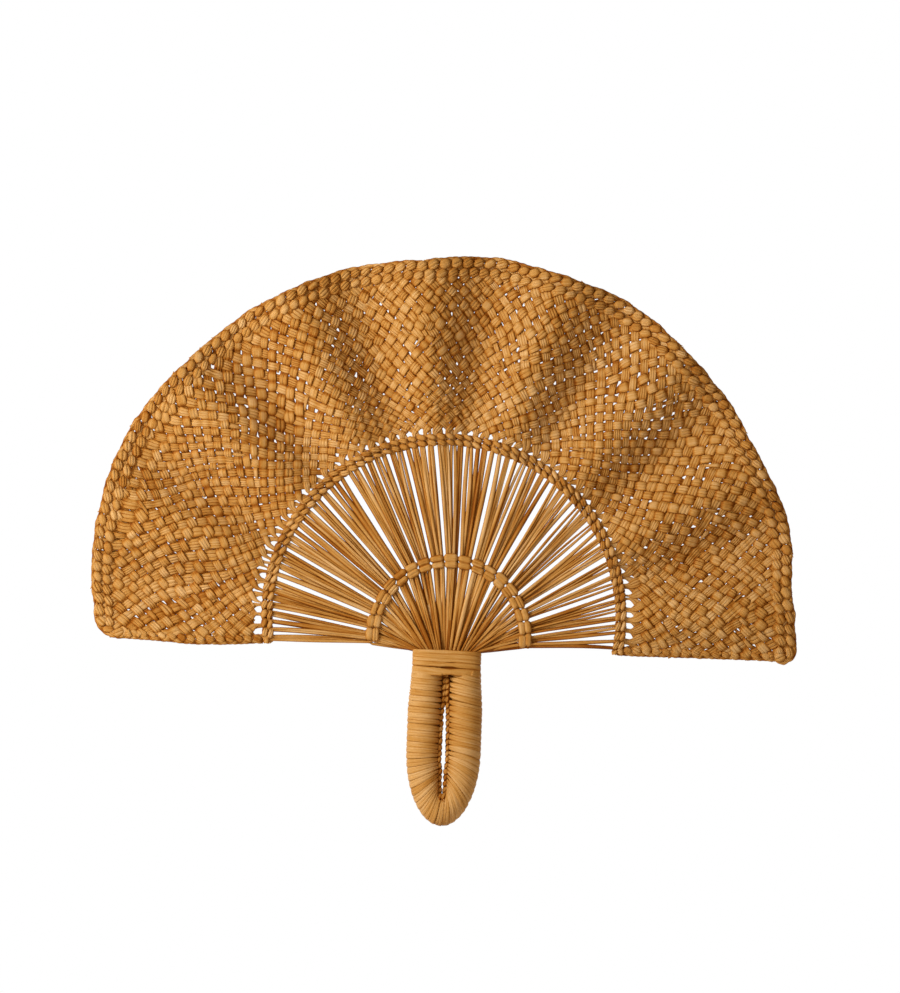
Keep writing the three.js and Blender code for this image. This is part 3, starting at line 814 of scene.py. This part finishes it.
# Each row of a selvedge: its height, its beads and its twist
SELVEDGE_ROWS = ((57.0, 16.5, SELVEDGE_BROAD), (55.1, 14.0, SELVEDGE_NARROW))
# Each tie: its piece, its node, its radius, how far off its two rows lie, its edge, beads, steps and twist
TIES = (
    ("band_row", "band", BAND_RADIUS, 1.65, LOWER_EDGE_Z + 0.4, 66, 620, BAND_TWIST),
    ("tie_ring", "tie_ring", RING_RADIUS, 1.8, RIB_EDGE_Z + 1.4, BUNDLES, 400, RING_TWIST),
)


def twined_row(strands, points, facing, beads, twist, rng):
    """Two plies of short strips laid along a path; each comes to the front for every other bead."""
    place = np.linspace(0, beads, len(points)) + twist.start
    place = place + wander(rng, place, period=5.3, size=0.16)
    tangent = unit(np.gradient(points, axis=0))
    outward = unit(np.cross(tangent, facing))
    knots = np.arange(int(beads) + SPARE_KNOTS)
    shortest = SHORTEST_STRIP * len(points) / beads
    for ply in (0, 1):
        phase = math.pi * (place + ply)
        front = np.sign(np.cos(phase)) * smooth(0, twist.full, np.abs(np.cos(phase)))
        seen = np.abs(front)
        line = points + facing * (twist.rise * front)[:, None]
        line = line + outward * (twist.sway * np.sin(phase))[:, None]
        size = np.interp(place, knots, np.clip(rng.normal(1, BEAD_UNEVEN, len(knots)), *BEAD_SIZES))
        width = twist.half_width * size * mix(twist.neck, 1, seen)
        deep = twist.half_depth * mix(PLY_DEPTH, 1, seen)
        # Each bead's own tone, less painted shade where the ply turns behind
        tone = np.interp(place, knots, rng.normal(0, BEAD_TONES, len(knots))) - PLY_SHADE * (1 - seen)
        groove = np.clip(BEAD_GROOVE_SHADE + wander(rng, place, period=3.7, size=0.9), 0, 1)
        strip = np.floor((place + ply + 0.5) / 2)
        for number in np.unique(strip):
            places = np.nonzero(strip == number)[0]
            part = slice(max(places[0] - 1, 0), places[-1] + 1)
            if len(places) > shortest:
                section = Section(rng.choice(twist.fibres), groove=0.4)
                shape = width[part], deep[part], section
                strands.add(line[part], facing[part], *shape, tone[part], groove=groove[part])


def on_blade(path, spacing):
    """A flat path of x and z, spaced evenly and lifted onto the rippled surface, with its facing there."""
    count = max(FEWEST_ON_PATH, int(distances(path)[-1] / spacing))
    return on_fan(*fan_polar(*place_on(path, np.linspace(0, 1, count)).T))


def rim_path(radius, level, round_right, round_left):
    """Along the rim from the right corner to the left one, with each corner turned down to a level edge."""
    ends = []
    for side, size in ((1, round_right), (-1, round_left)):
        middle, meet = corner(radius, level, size, side)
        turn = np.linspace(meet, -math.pi / 2, num=24)
        arc = middle + size * stack(side * np.cos(turn), np.sin(turn))
        run = arc[-1] - np.array((side, 0)) * np.linspace(0, CORNER_RUN, num=6)[1:, None]
        ends.append((meet, np.concatenate((arc, run))))
    sweep = np.linspace(ends[0][0], math.pi - ends[1][0], num=600)
    reach = radius + outline_swell(sweep)
    rim = RIM_CENTRE + stack(reach * np.cos(sweep), reach * np.sin(sweep))
    return np.concatenate((ends[0][1][:0:-1], rim, ends[1][1][1:]))


def add_tips(strands, rng):
    """Short strand ends that stand off the rim, and the knotted end at its right corner."""
    right, left = edge_angles(RIM_RADIUS, RIM_INNER_Z)
    run = np.linspace(0, 1, num=6)
    taper = 1 - TIP_TAPER * run
    for angle in rng.uniform(right, left, RIM_TIPS):
        turn = angle + rng.choice((-1, 1)) * run * rng.uniform(*TIP_LENGTHS) / RIM_RADIUS
        radius = RIM_RADIUS - TIP_INSET + run**TIP_CURL * rng.uniform(*TIP_RISES)
        shape = TIP_HALF_WIDTH * taper, TIP_HALF_DEPTH * taper, Section(1, groove=0.0)
        strands.add(*on_fan(radius, turn), *shape, rng.normal(0, BEAD_TONES))
    knot = on_blade(np.array(CORNER_KNOT), spacing=0.8)
    strands.add(*knot, half_width=1.3, half_depth=1.2, section=Section(2, groove=0.4), tone=-0.05)


def make_rim():
    rng = np.random.default_rng(SEED + 1)
    outer, inner, edge = Strands(), Strands(), Strands()
    path = rim_path(RIM_OUTER_ROW, RIM_OUTER_Z, CORNER_RIGHT, CORNER_LEFT)
    place = on_blade(path, spacing=0.85)
    twined_row(outer, *place, RIM_OUTER_BEADS, RIM_OUTER_TWIST, rng)
    path = rim_path(RIM_EDGE_ROW, RIM_EDGE_Z, CORNER_RIGHT, CORNER_EDGE_LEFT)
    place = on_blade(path, spacing=0.9)
    twined_row(edge, *place, RIM_EDGE_BEADS, RIM_EDGE_TWIST, rng)
    add_tips(edge, rng)
    place = on_arc(RIM_INNER_ROW, RIM_INNER_Z, steps=800)
    twined_row(inner, *place, RIM_INNER_BEADS, RIM_INNER_TWIST, rng)
    for name, strands in (("outer_row", outer), ("inner_row", inner), ("edge_cord", edge)):
        make_piece(f"rim_{name}", strands, PLAITED, "plaited_palm", "rim_plait")


def make_selvedges():
    rng = np.random.default_rng(SEED + 2)
    radius = np.linspace(BAND_RADIUS, SELVEDGE_END_RADIUS, num=170)
    for name, side in (("right", 0), ("left", 1)):
        strands = Strands()
        for edge_z, beads, twist in SELVEDGE_ROWS:
            angle = edge_angles(radius, edge_z)[side]
            twined_row(strands, *on_fan(radius, angle), beads, twist, rng)
        make_piece(f"selvedge_{name}", strands, PLAITED, "plaited_palm", f"{name}_selvedge")


def make_ties():
    """Two twined rows across the ribs at the inner band, and two across the bundles at the tie ring."""
    rng = np.random.default_rng(SEED + 3)
    for name, side in (("inner", -1), ("outer", 1)):
        for piece, node, radius, off, edge_z, beads, steps, twist in TIES:
            strands = Strands()
            twined_row(strands, *on_arc(radius + side * off, edge_z, steps), beads, twist, rng)
            nodes = [f"{node}_{name}_{face}" for face in ("front", "back")]
            make_piece(f"{piece}_{name}", strands, TWINED, "twined_palm", *nodes)


# Ribs
def stem_line(across):
    """Nearly straight from the top of the neck to the tie ring."""
    right, left = edge_angles(RING_RADIUS, RIB_EDGE_Z)
    angle = mix(left, right, across)
    end = RING_CENTRE + RING_RADIUS * np.array((math.cos(angle), math.sin(angle)))
    off_middle = 2 * across - 1
    base_z = mix(STEM_BASE_Z, STEM_SIDE_Z, abs(off_middle) ** STEM_SIDE_POWER)
    base = np.array((STEM_HALF_SPAN * off_middle, base_z))
    bend = (base + end) / 2 + (0, STEM_BOW * (1 - abs(off_middle)))
    t = np.linspace(0, 1, STEM_STEPS)[:, None]
    flat = (1 - t) ** 2 * base + 2 * t * (1 - t) * bend + t**2 * end
    return stack(flat[:, 0], 0, flat[:, 1])


def lay_rib(strands, at_ring, at_band, aside, opening, half, depths, rng):
    """One rib from the neck through the tie ring to the first crossing of the weave."""
    radius = np.linspace(RING_RADIUS, RIB_END_RADIUS, RIB_STEPS)[1:]
    out = (radius - RING_RADIUS) / (RIB_END_RADIUS - RING_RADIUS)
    bow = np.sin(math.pi * out)
    splay = (aside * rng.uniform(*RIB_SPLAY) + rng.normal(0, RIB_STRAY)) * bow
    across = at_ring + aside + (at_band - at_ring) * out**opening + splay
    right, left = edge_angles(radius, RIB_EDGE_Z)
    spread = fan_point(radius, mix(left, right, across))
    line = np.concatenate((stem_line(at_ring + aside + rng.normal(0, STEM_STRAY)), spread))
    climb = np.concatenate((np.linspace(0, 1, STEM_STEPS), 1 + out))
    base_depth, ring_depth = depths
    line[:, 1] += np.interp(climb, RIB_DEPTH_PLACES, (base_depth, ring_depth, ring_depth, 0, 0))
    line[:, 1] += np.interp(climb, RIB_BOW_PLACES, (0, rng.normal(0, RIB_BOW), 0))
    half_width = half * np.interp(climb, RIB_WIDTH_PLACES, RIB_WIDTHS)
    half_width = half_width + wander(rng, climb, period=0.5, size=0.06)
    section = Section(rng.choice(RIB_FIBRES), groove=0.4)
    tone = rng.normal(0, RIB_TONES) + wander(rng, climb, period=0.5, size=0.1)
    tone = tone - RIB_BASE_SHADE * (1 - smooth(*RIB_BASE_PLACES, climb))
    shape = half_width, RIB_DEPTH_SHARE * half_width, section
    # Strong painted shade along the rib's edges, in place of the shadows where ribs touch
    strands.add(line, FRONT, *shape, tone, tilt=rng.normal(0, RIB_TILT), edge=2.3)


def make_ribs():
    """Bundles of ribs that part into small groups on their way from the tie ring to the inner band."""
    rng = np.random.default_rng(SEED + 4)
    right, left = edge_angles(BAND_RADIUS, RIB_EDGE_Z)
    band_length = BAND_RADIUS * (left - right)
    for bundle in range(BUNDLES):
        strands = Strands()
        ribs = 0
        for group in range(GROUPS_PER_BUNDLE):
            middle = (group + 0.5) / GROUPS_PER_BUNDLE - 0.5
            at_band = (bundle + 0.5 + middle + rng.normal(0, BAND_STRAY)) / BUNDLES
            at_ring = (bundle + 0.5 + RING_SPREAD * middle + rng.normal(0, RING_STRAY)) / BUNDLES
            opening = rng.uniform(*RIB_OPENING)
            half, offsets = RIB_GROUPS[rng.choice(len(RIB_GROUPS))]
            half = half * (1 - RIB_SLIMMER * smooth(*RIB_SLIM_BUNDLES, bundle))
            for offset in offsets:
                aside = offset / band_length
                depths = (rng.uniform(*STEM_DEPTHS), ribs % RING_LAYERS - 1.0)
                ribs += 1
                lay_rib(strands, at_ring, at_band, aside, opening, half, depths, rng)
        number = f"{bundle + 1:02d}"
        make_piece(f"ribs_{number}", strands, RIB, "palm_rib", f"rib_bundle_{number}")


# Handle
def slit_edge(share, inset):
    radius = SLIT_HALF + inset
    arc_z = SLIT_END_Z + SLIT_HALF
    line, arc = BEND_TOP_Z - arc_z, math.pi * radius
    run = share * (2 * line + arc)
    turn = math.pi + np.clip((run - line) / radius, 0, math.pi)
    rise = np.maximum(line - run, 0) + np.maximum(run - line - arc, 0)
    return stack(radius * np.cos(turn), arc_z + radius * np.sin(turn) + rise)


def outer_edge(share, inset):
    turn = math.pi + np.linspace(0, math.pi, num=400)
    half_width, height = HANDLE_HALF_WIDTH - inset, BEND_HEIGHT - inset
    return place_on(stack(half_width * np.cos(turn), BEND_TOP_Z + height * np.sin(turn)), share)


def handle_point(loop, turn):
    """A place on the handle's skin: how far along its U, and how far round its section."""
    on_bend = np.clip((loop - LEG_LOOPS) / BEND_LOOPS, 0, 1)
    inner, outer = slit_edge(on_bend, STRIP_INSET), outer_edge(on_bend, STRIP_INSET)
    above = np.maximum(np.maximum(LEG_LOOPS - loop, loop - LEG_LOOPS - BEND_LOOPS), 0)
    middle, across = (inner + outer) / 2, (outer - inner) / 2
    towards_tip = 1 - np.abs(2 * on_bend - 1)
    deep = mix(HANDLE_DEPTH, HANDLE_TIP_DEPTH, towards_tip) / 2 - STRIP_INSET
    flat = middle - across * np.sin(TAU * turn)[:, None]
    z = flat[:, 1] + above * LEG_PITCH
    taper = 1 - NECK_TAPER * smooth(TAPER_LOW_Z, TAPER_HIGH_Z, z)
    return stack(flat[:, 0] * taper, -deep * np.cos(TAU * turn) * taper, z)


def make_handle():
    """A strip wound down one leg, round the bend and up the other, drawn narrow where it enters the slit."""
    rng = np.random.default_rng(SEED + 5)
    turns = TURNS_PER_LOOP * (2 * LEG_LOOPS + BEND_LOOPS)
    turn = np.arange(-HIDDEN_TURNS, turns + HIDDEN_TURNS, 1 / STEPS_PER_TURN)
    inner = np.maximum(np.sin(TAU * turn), 0) ** SLIT_POWER
    loop = (turn + wander(rng, turn, period=3.1, size=0.15)) / TURNS_PER_LOOP
    loop = loop + RIGHT_LEG_SKEW * np.sin(TAU * turn) * smooth(LEG_LOOPS, LEG_LOOPS + BEND_LOOPS, loop)
    half_turn = 0.5 / TURNS_PER_LOOP
    pitch = handle_point(loop + half_turn, turn) - handle_point(loop - half_turn, turn)
    ahead, behind = (handle_point(loop, turn + part) for part in (FACING_PART_TURN, -FACING_PART_TURN))
    facing = unit(np.cross(ahead - behind, pitch))
    spare = math.ceil(HIDDEN_TURNS)
    counts = np.arange(-spare, turns + spare)
    widths = np.interp(turn, counts, rng.normal(1.0, STRIP_WIDTHS, len(counts)))
    half_width = np.linalg.norm(pitch, axis=1) / 2 * widths * (STRIP_OVERLAP - SLIT_NARROWS * inner)
    half_width = np.maximum(half_width, STRIP_LEAST_HALF)
    # Each turn's own tone, less painted shade where the strip enters the slit; its grooves and edges get
    # painted shade too, more in the slit
    tones = np.interp(turn, counts, rng.normal(0, STRIP_TONES, len(counts))) - SLIT_SHADE * inner
    groove = np.clip(STRIP_GROOVE_SHADE + wander(rng, turn, period=0.7, size=1.0), 0, 1)
    edge = STRIP_EDGE_SHADE + SLIT_EDGE_SHADE * inner
    strands = Strands()
    shape = half_width, STRIP_HALF_DEPTH, Section(2, groove=0.3)
    strands.add(handle_point(loop, turn), facing, *shape, tones, tilt=0.1, groove=groove, edge=edge)
    make_piece("handle_winding", strands, STRIP, "palm_strip", "handle_wrap")


def make_slit_knots():
    """Chains of knots along both lips of the slit, front and back, and the seam that closes it above."""
    rng = np.random.default_rng(SEED + 6)
    strands = Strands()
    z = np.linspace(NECK_BOTTOM_Z + KNOTS_INTO_NECK, KNOT_HEIGHTS[0], num=240)
    x = np.interp(z, KNOT_HEIGHTS, KNOT_ASIDE) + wander(rng, z, period=9, size=0.3)
    off_slit = np.maximum(np.maximum(x - SLIT_HALF, SLIT_END_Z - z), KNOT_LEAST_OFF)
    deep = np.interp(z, DEPTH_HEIGHTS, (HANDLE_TIP_DEPTH / 2, HANDLE_DEPTH / 2)) - STRIP_INSET
    skin = deep * np.sqrt(1 - (1 - np.minimum(off_slit / LEG_HALF_ACROSS, 1)) ** 2)
    for face in (-1, 1):
        for side in (-1, 1):
            points = stack(side * x, face * (skin + KNOT_PROUD), z)
            facing = np.broadcast_to(unit(np.array((-KNOT_TURNED_IN * side, face, 0.0))), points.shape)
            twined_row(strands, points, facing, KNOT_BEADS, KNOT_TWIST, rng)
    z = np.linspace(NECK_BOTTOM_Z + SEAM_INTO_NECK, SLIT_TOP_Z, num=40)
    seam = stack(0, 0, z)
    # The seam lies deep between the legs, painted dark as the shade in that gap
    strands.add(seam, FRONT, half_width=3.6, half_depth=2.6, section=Section(3, groove=0.4), tone=-0.4)
    make_piece("slit_knots", strands, KNOTTED, "palm_strip")


def make_collar():
    """A broad strip wound round the neck; its turns part a little at the front."""
    rng = np.random.default_rng(SEED + 7)
    fronts = np.arange(len(COLLAR_HEIGHTS)) - 0.5
    turn = np.arange(0, COLLAR_TURNS, 1 / COLLAR_STEPS)
    wound = turn - COLLAR_LEVEL * np.sin(TAU * turn)
    z = np.interp(wound, fronts, COLLAR_HEIGHTS) + wander(rng, turn, period=0.9, size=0.25)
    half_width = np.interp(turn, fronts, COLLAR_HALF_WIDTHS)
    loose = (turn > PARTED_TURNS[0]) & (turn < PARTED_TURNS[1])
    parted = peak(turn % 1, PARTED_AT, PARTED_SPREAD) * loose
    half_width = half_width * (1 - PARTED_SHARE * parted)
    sine, cosine = -np.sin(TAU * turn), np.cos(TAU * turn)
    x, y = (np.sign(value) * np.abs(value) ** (2 / NECK_ROUNDING) for value in (sine, cosine))
    line = stack(x * (NECK_HALF_WIDTH - STRIP_INSET), y * (NECK_HALF_DEPTH - STRIP_INSET), z)
    facing = unit(stack(x, y, 0))
    strands = Strands()
    section = Section(1, groove=0.0, roundness=0.3)
    tone = wander(rng, turn, period=1.0, size=0.1) - COLLAR_SHADE
    strands.add(line, facing, half_width, STRIP_HALF_DEPTH, section, tone, tilt=0.06)
    # A lining behind the parted turns, painted dark as the shade inside that parting
    once = (turn > LINING_TURNS[0]) & (turn < LINING_TURNS[1])
    lining = line[once] * LINING_SHRINK + (0, 0, NECK_BOTTOM_Z + LINING_RISE)
    section = Section(3, groove=0.4, roundness=0.3)
    strands.add(lining, facing[once], half_width=6.5, half_depth=0.4, section=section, tone=-0.5)
    make_piece("collar_winding", strands, STRIP, "palm_strip", "neck_collar")


# Studio
def background_shows(wire):
    """1 for rays that show the background: straight to the camera, mirrored or through glass."""
    kinds = ("Camera", "Glossy", "Transmission")
    rays = [wire.add("LightPath", {}, {}, f"Is {kind} Ray") for kind in kinds]
    return wire.math("MAXIMUM", wire.math("MAXIMUM", rays[0], rays[1]), rays[2])


def make_stage():
    """A white floor that keeps the fan's shadow and fades into the white all round."""
    material, wire = new_tree("white_floor")
    place = wire.add("TexCoord", {}, {}, "Object")
    away = wire.add("VectorMath", {"operation": "LENGTH"}, {0: place}, "Value")
    fade = {"Value": away, "From Max": GLOW_REACH, "To Min": GLOW_NEAR, "To Max": GLOW_FAR}
    shown = background_shows(wire) * wire.add("MapRange", {}, fade)
    glow = wire.add("CombineColor", {}, {"Red": shown, "Green": shown, "Blue": shown})
    mottle = place.noise(scale=FLOOR_MOTTLE, detail=2.0)
    colour = mottle.coloured(FLOOR_STOPS)
    look = {
        "Base Color": colour,
        "Roughness": FLOOR_ROUGHNESS + mottle * FLOOR_ROUGH_SWAY,
        "Specular IOR Level": 0.0,
        "Emission Color": glow,
        "Emission Strength": 1.0,
    }
    wire.add("OutputMaterial", {}, {"Surface": wire.add("BsdfPrincipled", {}, look)})
    bpy.ops.object.select_all(action="DESELECT")
    under = (0, 0, cad_box[0].z - FLOOR_BELOW)
    bpy.ops.mesh.primitive_circle_add(vertices=96, radius=4.0, fill_type="NGON", location=under)
    floor = bpy.context.object
    floor.name = "floor"
    bpy.ops.object.transform_apply(location=True, rotation=True, scale=True)
    floor.data.materials.append(material)
    floor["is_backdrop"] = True


def make_lamp(name, place, target, size, power):
    lamp = bpy.data.lights.new(name, "AREA")
    lamp.shape = "DISK"
    lamp.size = size
    lamp.energy = power
    lamp_object = new_object(name, lamp)
    lamp_object.location = place
    lamp_object.rotation_euler = (Vector(target) - Vector(place)).to_track_quat("-Z", "Y").to_euler()


def make_world():
    """White where the camera looks straight at it, a plain soft light on everything else."""
    world = bpy.data.worlds.new("studio")
    bpy.context.scene.world = world
    world.use_nodes = True
    world.node_tree.nodes.clear()
    wire = Wire(world.node_tree)
    soft = wire.add("Background", {}, {"Color": AMBIENT_COLOUR, "Strength": AMBIENT})
    white = wire.add("Background", {}, {"Color": WHITE, "Strength": 1.0})
    light = wire.add("MixShader", {}, {0: background_shows(wire), 1: soft, 2: white})
    wire.add("OutputWorld", {}, {"Surface": light})


def make_camera():
    """Square on to the blade, with the fan turned slightly clockwise in the picture."""
    right = (PHOTO_WIDTH / 2 - ORIGIN_PIXEL[0]) * MM_PER_PIXEL
    up = (ORIGIN_PIXEL[1] - PHOTO_HEIGHT / 2) * MM_PER_PIXEL
    x = right * math.cos(TURN) - up * math.sin(TURN)
    z = right * math.sin(TURN) + up * math.cos(TURN)
    camera = bpy.data.cameras.new("camera")
    camera.type = "ORTHO"
    camera.ortho_scale = PHOTO_HEIGHT * MM_PER_PIXEL * MM
    camera_object = new_object("camera", camera)
    turned = Matrix.Rotation(math.pi / 2, 4, "X") @ Matrix.Rotation(TURN, 4, "Z")
    camera_object.matrix_world = Matrix.Translation((x * MM, -CAMERA_AWAY, z * MM)) @ turned
    bpy.context.scene.camera = camera_object


make_camera()
make_world()
make_stage()
for lamp_values in LAMPS:
    make_lamp(*lamp_values)
make_weave()
make_rim()
make_selvedges()
make_ties()
make_ribs()
make_handle()
make_slit_knots()
make_collar()
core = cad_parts["handle_core"]
core.data.materials.clear()
core.data.materials.append(CORE)

bpy.context.scene.view_settings.view_transform = "Standard"
boxes = {"cad": cad_box, "visual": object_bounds()}
{name: [list(corner_point) for corner_point in box] for name, box in boxes.items()}
